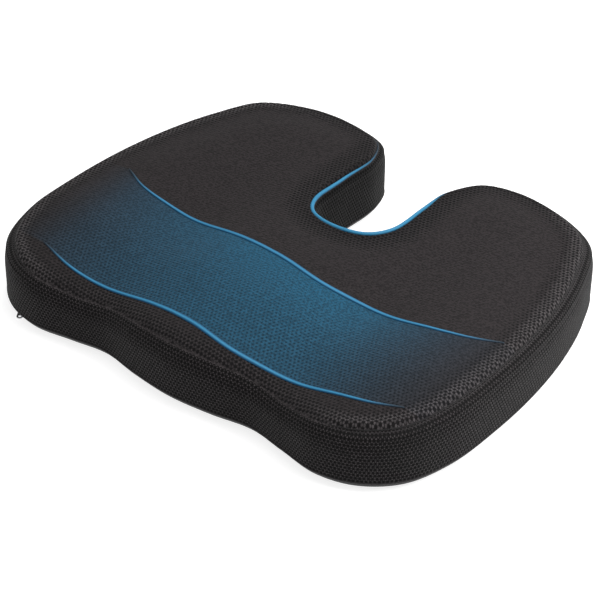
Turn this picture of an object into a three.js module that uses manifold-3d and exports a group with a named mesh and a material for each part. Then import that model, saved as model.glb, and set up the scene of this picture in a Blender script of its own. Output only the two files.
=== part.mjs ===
// U-shaped seat cushion: foam core in a sewn mesh cover, with a curved zip let into the underside.
// Millimetres. +Z up, +X right, the leg side faces -Y and the tailbone cut-out opens to +Y.
// The origin is the bottom centre of the whole cushion.
import * as THREE from "three";
import { mergeVertices } from "three/addons/utils/BufferGeometryUtils.js";
import Module from "manifold-3d";

const wasm = await Module();
wasm.setup();
const { Manifold, Mesh } = wasm;

// Overall sizes
const cushionWidth = 450;
const cushionDepth = 356;
const cushionHeight = 62;

// Relief of the top
const frontDrop = 5;
const legChannelDepth = 9;
const legChannelX = 0.43;
const legChannelSpread = 0.2;

// Tailbone cut-out
const cutoutHalfWidth = 38;
const cutoutLength = 148;
const cutoutOffset = 4.5;
const cutoutEdgeShare = 0.4;
const cutoutEdgeRun = 110;
const cutoutEdgeFade = 65;

// Cover
const clothThickness = 2.4;
const coverClearance = 0.4;
const topSeamDrop = 5.8;
const bottomSeamHeight = 7.5;
const seamHalfGap = 1.2;
const threadHalfHeight = 0.8;
const threadInset = 0.7;
const threadOutset = 1.9;

// Coloured lines
const pipingRadius = 1.6;
const pipingHalfRun = 165;
const lineHalfWidth = 2.2;
const lineHeight = 0.9;
const rearLineBack = 0.2;
const frontLineBack = 0.81;

// Zip on an arc in the underside
const zipRadius = 255;
const zipCentreX = 40;
const zipCentreY = -22;
const zipFrontAngle = 211.8;
const zipSpan = 60;
const zipEndRun = 1.6;
const zipExitSpan = 7;
const tapeWidth = 8;
const tapeThickness = 0.7;
const tapeHem = 2.3;
const coilWidth = 2.3;
const coilHeight = 1.3;
const coilHalfGap = 0.8;
const fitGap = 0.25;
const sliderLength = 12;
const sliderWidth = 8;
const sliderPlate = 0.6;
const sliderWeb = 1.0;
const webLength = 2.4;
const cheekWidth = 0.8;
const stopLength = 2.2;
const pullLength = 13.5;
const pullWidth = 5.4;
const pullThickness = 0.9;
const pullPinRadius = 0.4;
const pullEyeWall = 0.5;
const floorGap = 0.35;

// Levels that the zip's layers share, from the floor up
const eyeRadius = pullPinRadius + fitGap + pullEyeWall;
const pinZ = floorGap + eyeRadius;
const coilLow = pinZ + eyeRadius + fitGap;
const plateLow = coilLow - fitGap - sliderPlate;
const tapeLow = coilLow + coilHeight + fitGap;
const tapeHigh = tapeLow + tapeThickness;
const plateHigh = tapeHigh + fitGap;
const channelTop = plateHigh + sliderPlate + fitGap;
const coilTop = tapeLow - fitGap;
const hemLow = clothThickness + fitGap;

const halfWidth = cushionWidth / 2;
const halfDepth = cushionDepth / 2;
const rad = (degrees) => (degrees * Math.PI) / 180;
const smooth = (low, high, value) => THREE.MathUtils.smoothstep(value, low, high);

// Solid helpers
function toSolid(geometry) {
  const merged = geometry.clone();
  for (const name of Object.keys(merged.attributes)) {
    if (name !== "position") merged.deleteAttribute(name);
  }
  const welded = mergeVertices(merged, 1e-5);
  const vertProperties = new Float32Array(welded.attributes.position.array);
  const triVerts = new Uint32Array(welded.index.array);
  return new Manifold(new Mesh({ numProp: 3, vertProperties, triVerts }));
}

function toGeometry(solid) {
  const mesh = solid.getMesh();
  const geometry = new THREE.BufferGeometry();
  geometry.setAttribute("position", new THREE.BufferAttribute(new Float32Array(mesh.vertProperties), 3));
  geometry.setIndex(new THREE.BufferAttribute(new Uint32Array(mesh.triVerts), 1));
  return geometry;
}

// A closed skin over equal rings of points, with both ends capped.
function loft(rings) {
  const count = rings[0].length;
  const positions = [];
  for (const ring of rings) {
    for (const point of ring) positions.push(point.x, point.y, point.z);
  }
  const index = [];
  for (let level = 0; level + 1 < rings.length; level += 1) {
    for (let step = 0; step < count; step += 1) {
      const a = level * count + step;
      const b = level * count + ((step + 1) % count);
      index.push(a, b, b + count, a, b + count, a + count);
    }
  }
  const flat = (ring) => ring.map((point) => new THREE.Vector2(point.x, point.y));
  const last = (rings.length - 1) * count;
  for (const [a, b, c] of THREE.ShapeUtils.triangulateShape(flat(rings[0]), [])) index.push(a, c, b);
  for (const [a, b, c] of THREE.ShapeUtils.triangulateShape(flat(rings.at(-1)), [])) {
    index.push(last + a, last + b, last + c);
  }
  const geometry = new THREE.BufferGeometry();
  geometry.setAttribute("position", new THREE.Float32BufferAttribute(positions, 3));
  geometry.setIndex(index);
  return geometry;
}

// A bar of four-sided section swept along a list of frames {at, side, up}.
function sweep(frames, corners) {
  const positions = [];
  for (const { at, side, up, scale } of frames) {
    for (const [across, rise] of corners) {
      const point = at.clone().addScaledVector(side, across * scale).addScaledVector(up, rise * scale);
      positions.push(point.x, point.y, point.z);
    }
  }
  const count = corners.length;
  const index = [];
  for (let level = 0; level + 1 < frames.length; level += 1) {
    for (let step = 0; step < count; step += 1) {
      const a = level * count + step;
      const b = level * count + ((step + 1) % count);
      index.push(a, b, b + count, a, b + count, a + count);
    }
  }
  const last = (frames.length - 1) * count;
  for (let step = 1; step + 1 < count; step += 1) {
    index.push(0, step + 1, step, last, last + step, last + step + 1);
  }
  const geometry = new THREE.BufferGeometry();
  geometry.setAttribute("position", new THREE.Float32BufferAttribute(positions, 3));
  geometry.setIndex(index);
  return geometry;
}

// Plan outline: the right flank from the front centre, the cut-out's right wall, then the same
// points mirrored. The cut-out stands a little to +X of the middle.
function outlineCurve() {
  const wallX = cutoutHalfWidth / halfWidth;
  const bottomY = 1 - cutoutLength / halfDepth;
  const flank = [
    [0, -0.997], [0.173, -0.978], [0.338, -0.944], [0.489, -0.972], [0.649, -1],
    [0.796, -0.95], [0.92, -0.809], [0.984, -0.579], [1, -0.275], [0.991, 0.028],
    [0.956, 0.326], [0.893, 0.601], [0.796, 0.843], [0.6, 0.972], [0.396, 0.997],
  ];
  const wall = [
    [wallX + 0.06, 0.93], [wallX, 0.76], [wallX, 0.52], [wallX * 0.95, bottomY + 0.13],
    [wallX * 0.64, bottomY + 0.035], [0, bottomY],
  ];
  const mirror = (rows) => rows.map(([x, y]) => [-x, y]).reverse();
  const cutout = [...wall, ...mirror(wall.slice(0, -1))].map(([x, y]) => [x + cutoutOffset / halfWidth, y]);
  const all = [...flank, ...cutout, ...mirror(flank.slice(1))];
  const points = all.map(([x, y]) => new THREE.Vector3(x * halfWidth, y * halfDepth, 0));
  return new THREE.CatmullRomCurve3(points, true, "centripetal");
}

const curve = outlineCurve();
const outlineLength = curve.getLength();

// How much of the side profile's inset is kept: all of it on the flanks, less round the cut-out,
// where the edge is sharper.
function edgeSharpness(share) {
  const away = Math.abs(share - 0.5) * outlineLength;
  const flank = smooth(cutoutEdgeRun, cutoutEdgeRun + cutoutEdgeFade, away);
  return cutoutEdgeShare + (1 - cutoutEdgeShare) * flank;
}

const outlineSteps = 72;
const stations = [];
for (let step = 0; step < outlineSteps; step += 1) {
  const at = curve.getPointAt(step / outlineSteps);
  const tangent = curve.getTangentAt(step / outlineSteps);
  const inward = new THREE.Vector2(-tangent.y, tangent.x);
  stations.push({ at, inward, sharpness: edgeSharpness(step / outlineSteps) });
}

// Height of the finished top above the floor at a place in plan.
function topAt(x, y) {
  const across = Math.abs(x) / halfWidth;
  const channel = Math.exp(-(((across - legChannelX) / legChannelSpread) ** 2));
  const reach = smooth(-0.9, 0.35, -y / halfDepth);
  const front = smooth(0.45, 1, -y / halfDepth);
  return cushionHeight - legChannelDepth * channel * reach - frontDrop * front;
}

// Side profile: share of the height, then the distance in from the widest outline.
const sideProfile = [
  [0, 7], [0.06, 2.6], [0.16, 0.3], [0.45, 0], [0.72, 1], [0.86, 4.8], [0.95, 11.5], [1, 23],
];

// The cushion's body with every face moved in by one distance.
function bodySolid(inset) {
  const rings = sideProfile.map(([share, edge]) =>
    stations.map(({ at, inward, sharpness }) => {
      const x = at.x + inward.x * (edge * sharpness + inset);
      const y = at.y + inward.y * (edge * sharpness + inset);
      const z = inset + share * (topAt(x, y) - 2 * inset);
      return new THREE.Vector3(x, y, z);
    }),
  );
  const rim = rings.at(-1).map((point) => new THREE.Vector3(point.x, point.y, cushionHeight + 10));
  return toSolid(loft([...rings, rim])).intersect(reliefSolid(inset));
}

const seamEdge = 8;
function seamRing(inset, rise) {
  return stations.map(({ at, inward }) => {
    const seamZ = topAt(at.x + inward.x * seamEdge, at.y + inward.y * seamEdge) - topSeamDrop;
    return new THREE.Vector3(at.x + inward.x * inset, at.y + inward.y * inset, seamZ + rise);
  });
}

// Everything under the top seam moved up by one distance, within the cover's walls.
function underSeam(rise) {
  const outer = seamRing(-seamEdge / 2, rise);
  const lowest = outer.map((point) => new THREE.Vector3(point.x, point.y, -seamEdge));
  const inner = seamRing(2 * seamEdge, rise);
  const well = seamRing(3 * seamEdge, rise).map((point) => point.setZ(cushionHeight / 3));
  return toSolid(loft([lowest, outer, inner, well]));
}

// Everything under the top surface lowered by one distance.
function reliefSolid(drop) {
  const columns = 16;
  const rows = 8;
  const margin = 12;
  const size = [cushionWidth + 2 * margin, cushionDepth + 2 * margin, 1];
  const block = new THREE.BoxGeometry(...size, columns, rows, 1);
  const position = block.attributes.position;
  for (let point = 0; point < position.count; point += 1) {
    const isTop = position.getZ(point) > 0;
    const height = isTop ? topAt(position.getX(point), position.getY(point)) - drop : -margin;
    position.setZ(point, height);
  }
  return toSolid(block);
}

function slabSolid(low, high) {
  const block = new THREE.BoxGeometry(cushionWidth * 2, cushionDepth * 2, high - low);
  block.translate(0, 0, (low + high) / 2);
  return toSolid(block);
}

// A bar bent along the zip's arc; corners give its section as distance out from the arc and height.
function arcBar(corners, fromAngle, toAngle) {
  const steps = Math.max(2, Math.ceil(Math.abs(toAngle - fromAngle) / 3));
  const frames = [];
  for (let step = 0; step <= steps; step += 1) {
    const angle = rad(fromAngle + ((toAngle - fromAngle) * step) / steps);
    const side = new THREE.Vector3(Math.cos(angle), Math.sin(angle), 0);
    const at = side.clone().multiplyScalar(zipRadius).add(new THREE.Vector3(zipCentreX, zipCentreY, 0));
    frames.push({ at, side, up: new THREE.Vector3(0, 0, 1), scale: 1 });
  }
  return sweep(frames, corners);
}

function arcSolid(innerOffset, outerOffset, low, high, fromAngle, toAngle) {
  const corners = [[innerOffset, low], [innerOffset, high], [outerOffset, high], [outerOffset, low]];
  return toSolid(arcBar(corners, fromAngle, toAngle));
}

const alongArc = (length) => (length / zipRadius) * (180 / Math.PI);

// Body layers
const outside = bodySolid(0);
const inside = bodySolid(clothThickness);
const foamBody = bodySolid(clothThickness + coverClearance);
const clearOfCover = bodySolid(-fitGap);
const lineShell = bodySolid(-fitGap - lineHeight).subtract(clearOfCover);
const cloth = outside.subtract(inside);

// Room for the zip
const zipRear = zipFrontAngle - zipSpan;
const zipExit = zipFrontAngle + zipExitSpan;
const mouthHalf = sliderWidth / 2 + 4 * fitGap;
const channelHalf = coilHalfGap + tapeWidth + 2 * fitGap;
const mouth = arcSolid(-mouthHalf, mouthHalf, -1, channelTop, zipRear - zipEndRun, zipExit);
const tapeRoom = arcSolid(-channelHalf, channelHalf, clothThickness, channelTop, zipRear - zipEndRun, zipExit);
const channel = arcSolid(-channelHalf, channelHalf, -1, channelTop, zipRear - 2 * zipEndRun, zipExit);

// Cover pieces
const aboveTopSeam = cloth.subtract(underSeam(seamHalfGap));
const belowTopSeam = cloth.intersect(underSeam(-seamHalfGap));
const sideRing = belowTopSeam.intersect(slabSolid(bottomSeamHeight + seamHalfGap, cushionHeight));
const bottomPanel = cloth.intersect(slabSolid(-1, bottomSeamHeight - seamHalfGap)).subtract(mouth).subtract(tapeRoom);

// Vertical joins of the side strip stand on the inner corners of the two rear lobes.
const joinX = cutoutHalfWidth + 0.1 * halfWidth;
const joinBlock = new THREE.BoxGeometry(2 * joinX, cushionDepth, 2 * cushionHeight);
joinBlock.translate(cutoutOffset, cushionDepth * 0.55, 0);
const joinGap = 2 * fitGap;
const joinBlockWide = new THREE.BoxGeometry(2 * (joinX + joinGap), cushionDepth + 2 * joinGap, 2 * cushionHeight);
joinBlockWide.translate(cutoutOffset, cushionDepth * 0.55, 0);
const cutoutBand = sideRing.intersect(toSolid(joinBlock));
const sideBand = sideRing.subtract(toSolid(joinBlockWide));

// A closed flat thread lying in a seam, from one depth inside the outline to another.
function threadRing(levelAt) {
  const corners = [[threadInset, -1], [threadInset, 1], [threadOutset, 1], [threadOutset, -1]];
  const positions = [];
  for (const { at, inward, sharpness } of stations) {
    const { edge, z } = levelAt(at, inward);
    for (const [depth, side] of corners) {
      const x = at.x + inward.x * (edge * sharpness + depth);
      const y = at.y + inward.y * (edge * sharpness + depth);
      positions.push(x, y, z + side * threadHalfHeight);
    }
  }
  const count = corners.length;
  const index = [];
  for (let level = 0; level < stations.length; level += 1) {
    const next = (level + 1) % stations.length;
    for (let step = 0; step < count; step += 1) {
      const a = level * count + step;
      const b = level * count + ((step + 1) % count);
      const c = next * count + step;
      const d = next * count + ((step + 1) % count);
      index.push(a, d, b, a, c, d);
    }
  }
  const geometry = new THREE.BufferGeometry();
  geometry.setAttribute("position", new THREE.Float32BufferAttribute(positions, 3));
  geometry.setIndex(index);
  return geometry;
}

// Inset of the side profile at a share of the height.
function profileEdge(share) {
  const above = sideProfile.findIndex(([level]) => level >= share);
  const [lowShare, lowEdge] = sideProfile[above - 1];
  const [highShare, highEdge] = sideProfile[above];
  return THREE.MathUtils.mapLinear(share, lowShare, highShare, lowEdge, highEdge);
}

const topThread = threadRing((at, inward) => {
  const top = topAt(at.x + inward.x * seamEdge, at.y + inward.y * seamEdge);
  const z = top - topSeamDrop;
  return { edge: profileEdge(z / top), z };
});
const bottomThread = threadRing(() => ({
  edge: profileEdge(bottomSeamHeight / cushionHeight),
  z: bottomSeamHeight,
}));

// A tapered strip across the top; rows give plan points as shares of the half sizes.
function accentLine(rows) {
  const points = rows.map(([x, y]) => new THREE.Vector3(x * halfWidth, y * halfDepth, 0));
  const path = new THREE.CatmullRomCurve3(points, false, "centripetal");
  const steps = 28;
  const frames = [];
  for (let step = 0; step <= steps; step += 1) {
    const share = step / steps;
    const tangent = path.getTangentAt(share);
    const width = lineHalfWidth * (0.2 + 0.8 * Math.sqrt(Math.sin(Math.PI * share)));
    const side = new THREE.Vector3(-tangent.y, tangent.x, 0).multiplyScalar(width);
    frames.push({ at: path.getPointAt(share), side, up: new THREE.Vector3(0, 0, 1), scale: 1 });
  }
  const corners = [[1, cushionHeight / 2], [1, 2 * cushionHeight], [-1, 2 * cushionHeight], [-1, cushionHeight / 2]];
  return toSolid(sweep(frames, corners)).intersect(lineShell);
}

const bend = (back, rows) => rows.map(([x, rise]) => [x, rise - back]);
const rearRows = bend(rearLineBack, [
  [-0.81, 0.095], [-0.69, 0.03], [-0.5, 0.015], [-0.25, 0.012], [0, -0.01],
  [0.2, -0.042], [0.38, -0.024], [0.6, -0.018], [0.78, 0.022], [0.91, 0.105],
]);
const frontRows = bend(frontLineBack, [
  [-0.74, 0.03], [-0.6, -0.004], [-0.43, -0.001], [-0.2, 0.006], [0, -0.003],
  [0.18, -0.028], [0.35, -0.01], [0.6, 0.019], [0.74, 0.045], [0.85, 0.098],
]);

// Piping laid against the top seam round the cut-out, thinning towards both lobes.
function cutoutPiping() {
  const steps = 32;
  const frames = [];
  for (let step = 0; step <= steps; step += 1) {
    const along = (2 * step) / steps - 1;
    const share = 0.5 + (along * pipingHalfRun) / outlineLength;
    const at = curve.getPointAt(share);
    const tangent = curve.getTangentAt(share);
    const inward = new THREE.Vector3(-tangent.y, tangent.x, 0);
    const top = topAt(at.x + inward.x * seamEdge, at.y + inward.y * seamEdge);
    const edge = profileEdge(1 - topSeamDrop / top) * edgeSharpness(share) - pipingRadius - fitGap;
    const centre = new THREE.Vector3(at.x + inward.x * edge, at.y + inward.y * edge, top - topSeamDrop);
    const scale = 0.35 + 0.65 * Math.sqrt(1 - along * along);
    frames.push({ at: centre, side: inward, up: new THREE.Vector3(0, 0, 1), scale });
  }
  const sides = 6;
  const corners = [];
  for (let step = 0; step < sides; step += 1) {
    const angle = (2 * Math.PI * (step + 0.5)) / sides;
    corners.push([pipingRadius * Math.cos(angle), pipingRadius * Math.sin(angle)]);
  }
  return toSolid(sweep(frames, corners)).subtract(clearOfCover);
}

// Zip pieces
const chainFront = zipFrontAngle + alongArc(sliderLength / 2 - 3);
// Each tape turns down along its far edge to the hem sewn over the bottom panel.
function tape(side) {
  const near = side * coilHalfGap;
  const far = side * (coilHalfGap + tapeWidth);
  const hem = far - side * tapeHem;
  const corners = [[near, tapeLow], [near, tapeHigh], [far, tapeHigh], [far, hemLow], [hem, hemLow], [hem, tapeLow]];
  const ordered = side > 0 ? corners : corners.reverse();
  return arcBar(ordered, zipRear, chainFront);
}
const coilStart = zipRear + alongArc(stopLength + fitGap);
const coilEnd = chainFront - alongArc(stopLength + fitGap);
const coilEdge = coilHalfGap + coilWidth;
const coilInner = arcSolid(-coilEdge, -coilHalfGap, coilLow, coilTop, coilStart, coilEnd);
const coilOuter = arcSolid(coilHalfGap, coilEdge, coilLow, coilTop, coilStart, coilEnd);
const rearStop = arcSolid(-coilEdge, coilEdge, coilLow, coilTop, zipRear, zipRear + alongArc(stopLength));
const stopFrom = chainFront - alongArc(stopLength);
const frontStopInner = arcSolid(-coilEdge, -coilHalfGap, coilLow, coilTop, stopFrom, chainFront);
const frontStopOuter = arcSolid(coilHalfGap, coilEdge, coilLow, coilTop, stopFrom, chainFront);

// The slider is drawn on the arc's tangent at its parked place: local x forwards, y outwards.
const parked = rad(zipFrontAngle);
function onSlider(solid) {
  const forward = new THREE.Vector3(-Math.sin(parked), Math.cos(parked), 0);
  const outward = new THREE.Vector3(Math.cos(parked), Math.sin(parked), 0);
  const place = new THREE.Matrix4().makeBasis(forward, outward.negate(), new THREE.Vector3(0, 0, 1));
  place.setPosition(zipCentreX + zipRadius * Math.cos(parked), zipCentreY + zipRadius * Math.sin(parked), 0);
  const geometry = toGeometry(solid);
  geometry.applyMatrix4(place);
  return geometry;
}

function box(fromX, toX, fromY, toY, fromZ, toZ) {
  const block = new THREE.BoxGeometry(toX - fromX, toY - fromY, toZ - fromZ);
  block.translate((fromX + toX) / 2, (fromY + toY) / 2, (fromZ + toZ) / 2);
  return toSolid(block);
}

function crossRod(x, z, radius, length) {
  const rod = new THREE.CylinderGeometry(radius, radius, length, 16);
  rod.translate(x, 0, z);
  return toSolid(rod);
}

const pinX = sliderLength / 2 + eyeRadius + fitGap;
const cheekGap = pullWidth / 2 + fitGap;

function sliderSolid() {
  const end = sliderLength / 2;
  const half = sliderWidth / 2;
  const top = plateHigh + sliderPlate;
  const lower = box(-end, end, -half, half, plateLow, plateLow + sliderPlate);
  const upper = box(-end, end, -half, half, plateHigh, top);
  const web = box(end - webLength, end, -sliderWeb / 2, sliderWeb / 2, plateLow, top);
  const cheekFrom = end - webLength;
  const cheekTo = pinX + eyeRadius;
  const cheekLow = pinZ - pullPinRadius - fitGap;
  const cheekHigh = plateLow + sliderPlate;
  const outer = cheekGap + cheekWidth;
  const left = box(cheekFrom, cheekTo, -outer, -cheekGap, cheekLow, cheekHigh);
  const right = box(cheekFrom, cheekTo, cheekGap, outer, cheekLow, cheekHigh);
  const pin = crossRod(pinX, pinZ, pullPinRadius, 2 * cheekGap + cheekWidth);
  return web.add(lower).add(upper).add(left).add(right).add(pin);
}

function pullSolid() {
  const plate = new THREE.Shape();
  const half = pullWidth / 2;
  const tipX = pinX + pullLength;
  plate.moveTo(pinX, -half);
  plate.lineTo(tipX - half, -half);
  plate.absarc(tipX - half, 0, half, -Math.PI / 2, Math.PI / 2, false);
  plate.lineTo(pinX, half);
  plate.closePath();
  const hole = new THREE.Path();
  hole.absarc(tipX - half, 0, half * 0.5, 0, 2 * Math.PI, true);
  plate.holes.push(hole);
  const blade = new THREE.ExtrudeGeometry(plate, { depth: pullThickness, bevelEnabled: false, curveSegments: 6 });
  blade.translate(0, 0, pinZ - pullThickness / 2);
  const eye = crossRod(pinX, pinZ, eyeRadius, pullWidth);
  const bore = crossRod(pinX, pinZ, pullPinRadius + fitGap, pullWidth + 2);
  return toSolid(blade).add(eye).subtract(bore);
}

// Materials
function material(colour, roughness, metalness) {
  return new THREE.MeshStandardMaterial({ color: new THREE.Color(colour), roughness, metalness });
}
const meshCloth = material("#2f2c2d", 0.9, 0);
const sideCloth = material("#262425", 0.9, 0);
const baseCloth = material("#1d1c1d", 0.95, 0);
const threadBlack = material("#161516", 0.8, 0);
const lineBlue = material("#3f93c6", 0.55, 0);
const foamGrey = material("#c9c5b8", 0.95, 0);
const tapeBlack = material("#151516", 0.85, 0);
const coilBlack = material("#1b1b1d", 0.5, 0);
const zipMetal = material("#a9abae", 0.35, 1);

const cushion = new THREE.Group();
cushion.name = "seat_cushion";
function addPiece(name, shape, look) {
  const geometry = shape instanceof THREE.BufferGeometry ? shape : toGeometry(shape);
  const piece = new THREE.Mesh(geometry, look);
  piece.name = name;
  cushion.add(piece);
}

addPiece("foam_core", foamBody.subtract(channel), foamGrey);
addPiece("cover_top_panel", aboveTopSeam, meshCloth);
addPiece("cover_side_band", sideBand, sideCloth);
addPiece("cover_cutout_band", cutoutBand, sideCloth);
addPiece("cover_bottom_panel", bottomPanel, baseCloth);
addPiece("top_seam_thread", topThread, threadBlack);
addPiece("bottom_seam_thread", bottomThread, threadBlack);
addPiece("cutout_piping", cutoutPiping(), lineBlue);
addPiece("rear_accent_line", accentLine(rearRows), lineBlue);
addPiece("front_accent_line", accentLine(frontRows), lineBlue);
addPiece("zip_tape_inner", tape(-1), tapeBlack);
addPiece("zip_tape_outer", tape(1), tapeBlack);
addPiece("zip_coil_inner", coilInner, coilBlack);
addPiece("zip_coil_outer", coilOuter, coilBlack);
addPiece("zip_rear_stop", rearStop, zipMetal);
addPiece("zip_front_stop_inner", frontStopInner, zipMetal);
addPiece("zip_front_stop_outer", frontStopOuter, zipMetal);
addPiece("zip_slider", onSlider(sliderSolid()), zipMetal);
addPiece("zip_pull", onSlider(pullSolid()), zipMetal);

export default cushion;
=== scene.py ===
import math
import bpy
import numpy as np
from mathutils import Matrix, Vector


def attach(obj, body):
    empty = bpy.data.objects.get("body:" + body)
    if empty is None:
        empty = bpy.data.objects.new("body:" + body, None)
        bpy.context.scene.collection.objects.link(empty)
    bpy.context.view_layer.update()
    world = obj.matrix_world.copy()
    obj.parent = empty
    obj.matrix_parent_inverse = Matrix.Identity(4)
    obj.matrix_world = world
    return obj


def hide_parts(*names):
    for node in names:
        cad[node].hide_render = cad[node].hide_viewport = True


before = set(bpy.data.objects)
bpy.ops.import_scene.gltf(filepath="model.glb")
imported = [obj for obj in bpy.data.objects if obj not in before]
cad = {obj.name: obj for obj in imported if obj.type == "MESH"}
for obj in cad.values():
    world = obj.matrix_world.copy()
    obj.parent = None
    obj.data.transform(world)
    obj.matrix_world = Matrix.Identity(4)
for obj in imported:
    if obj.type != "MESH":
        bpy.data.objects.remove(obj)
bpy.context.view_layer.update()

mm = 0.001
scene = bpy.context.scene

# Lengths are in millimetres until makeMesh() turns them into metres.
cushion = dict(width=450, depth=356, height=62, frontDrop=5, channelDepth=9, channelAt=0.43,
               channelSpread=0.2, cutoutHalf=38, cutoutLength=148, cutoutOffset=4.5, cutoutEdge=0.3,
               edgeRun=110, edgeFade=65, shoulder=23, seamInset=8.2, seamShare=0.906, baseSeam=7.5,
               baseRoll=7, rollShare=0.2, rollPower=2.6, leanFrom=0.5, leanPower=3.9, shoulderPower=2.2,
               holePitch=3.6, sidePitch=3.2, sideHoleRows=16, holeDepth=0.7)
halfWidth = cushion["width"] / 2
halfDepth = cushion["depth"] / 2


def srgb(red, green, blue):  # display colour 0-255 to linear light
    c = np.array([red, green, blue]) / 255
    return tuple(np.where(c > 0.04045, ((c + 0.055) / 1.055) ** 2.4, c / 12.92)) + (1.0,)


def smoothStep(low, high, value):  # 0 below low, 1 above high, 3t^2 - 2t^3 between
    t = np.clip((value - low) / (high - low), 0, 1)
    return t * t * (3 - 2 * t)


# Centripetal spline through points: each span is blended from straight lines between four
# neighbours, with knots spaced by the square root of the distance between them.
def splineThrough(points, closed, perSpan=40):
    p = np.asarray(points, float)
    if closed:
        a, b, c, d = np.roll(p, 1, 0), p, np.roll(p, -1, 0), np.roll(p, -2, 0)
    else:
        ends = np.vstack([2 * p[:1] - p[1:2], p, 2 * p[-1:] - p[-2:-1]])
        a, b, c, d = ends[:-3], ends[1:-2], ends[2:-1], ends[3:]
    t1 = np.linalg.norm(b - a, axis=1) ** 0.5
    t2 = t1 + np.linalg.norm(c - b, axis=1) ** 0.5
    t3 = t2 + np.linalg.norm(d - c, axis=1) ** 0.5
    t1, t2, t3 = (v[:, None, None] for v in (t1, t2, t3))
    t = t1 + (t2 - t1) * (np.arange(perSpan) / perSpan)[None, :, None]
    a, b, c, d = (v[:, None, :] for v in (a, b, c, d))
    ab = a * (t1 - t) / t1 + b * t / t1
    bc = b * (t2 - t) / (t2 - t1) + c * (t - t1) / (t2 - t1)
    cd = c * (t3 - t) / (t3 - t2) + d * (t - t2) / (t3 - t2)
    abc = ab * (t2 - t) / t2 + bc * t / t2
    bcd = bc * (t3 - t) / (t3 - t1) + cd * (t - t1) / (t3 - t1)
    found = (abc * (t2 - t) / (t2 - t1) + bcd * (t - t1) / (t2 - t1)).reshape(-1, p.shape[1])
    return found if closed else np.vstack([found, p[-1:]])


# The same line with its points a constant distance apart, and its length.
def evenly(points, count, closed):
    p = np.vstack([points, points[:1]]) if closed else points
    run = np.concatenate([[0], np.cumsum(np.linalg.norm(np.diff(p, axis=0), axis=1))])
    at = np.arange(count) / count * run[-1] if closed else np.linspace(0, run[-1], count)
    return np.stack([np.interp(at, run, p[:, k]) for k in range(p.shape[1])], 1), run[-1]


def outlineKnots():  # right flank from the front centre, the cut-out a little to +X, then left flank
    wall = cushion["cutoutHalf"] / halfWidth
    end = 1 - cushion["cutoutLength"] / halfDepth
    flank = [(0, -0.997), (0.173, -0.978), (0.338, -0.944), (0.489, -0.972), (0.649, -1.0),
             (0.796, -0.95), (0.92, -0.809), (0.984, -0.579), (1, -0.275), (0.991, 0.028),
             (0.956, 0.326), (0.893, 0.601), (0.796, 0.843), (0.6, 0.972), (0.396, 0.997)]
    side = [(wall + 0.06, 0.93), (wall, 0.76), (wall, 0.52), (wall * 0.95, end + 0.13),
            (wall * 0.64, end + 0.035)]
    around = side + [(0, end)] + [(-x, y) for x, y in side[::-1]]
    shift = cushion["cutoutOffset"] / halfWidth
    knots = flank + [(x + shift, y) for x, y in around] + [(-x, y) for x, y in flank[:0:-1]]
    return np.array(knots) * (halfWidth, halfDepth)


edgeCount = 900
edge, edgeLength = evenly(splineThrough(outlineKnots(), True), edgeCount, True)
along = np.roll(edge, -1, 0) - np.roll(edge, 1, 0)
along /= np.linalg.norm(along, axis=1)[:, None]
inward = np.stack([-along[:, 1], along[:, 0]], 1)


# Height of the finished top: the full height less a smooth channel under each leg and a fall
# towards the front.
def topAt(x, y):
    across = np.abs(x) / halfWidth
    channel = np.exp(-(((across - cushion["channelAt"]) / cushion["channelSpread"]) ** 2))
    reach = smoothStep(-0.9, 0.35, -y / halfDepth)
    front = smoothStep(0.45, 1, -y / halfDepth)
    return cushion["height"] - cushion["channelDepth"] * channel * reach - cushion["frontDrop"] * front


# How much of the profile's inset is kept: all on the flanks, less round the cut-out, whose edge
# is sharper.
def sharpness(place):
    away = np.abs(place % 1 - 0.5) * edgeLength
    flank = smoothStep(cushion["edgeRun"], cushion["edgeRun"] + cushion["edgeFade"], away)
    return cushion["cutoutEdge"] + (1 - cushion["cutoutEdge"]) * flank


# How strongly the top seam is drawn in: fully on the flanks and at the back, faintly in front.
faint = dict(loss=0.92, fromY=-100, toY=-150, fromX=175, toX=140)


def seamPull(x, y):
    front = smoothStep(faint["fromY"], faint["toY"], y) * smoothStep(faint["fromX"], faint["toX"], np.abs(x))
    return 1 - faint["loss"] * front


# Share of the height that the shoulder has reached at a distance in from the widest outline:
# one less a power of the distance still to go.
def shoulderShare(inset):
    togo = np.clip((cushion["shoulder"] - inset) / (cushion["shoulder"] - cushion["seamInset"]), 0, 2)
    return 1 - (1 - cushion["seamShare"]) * togo ** cushion["shoulderPower"]


# Distance in from the widest outline at a share of the height, on the side: two powers, one
# for the roll under the edge and one for the lean towards the top seam.
def sideInset(share):
    under = np.clip(1 - share / cushion["rollShare"], 0, 1) ** cushion["rollPower"]
    leaning = (share - cushion["leanFrom"]) / (cushion["seamShare"] - cushion["leanFrom"])
    over = np.clip(leaning, 0, 2) ** cushion["leanPower"]
    return cushion["baseRoll"] * under + cushion["seamInset"] * over


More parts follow.
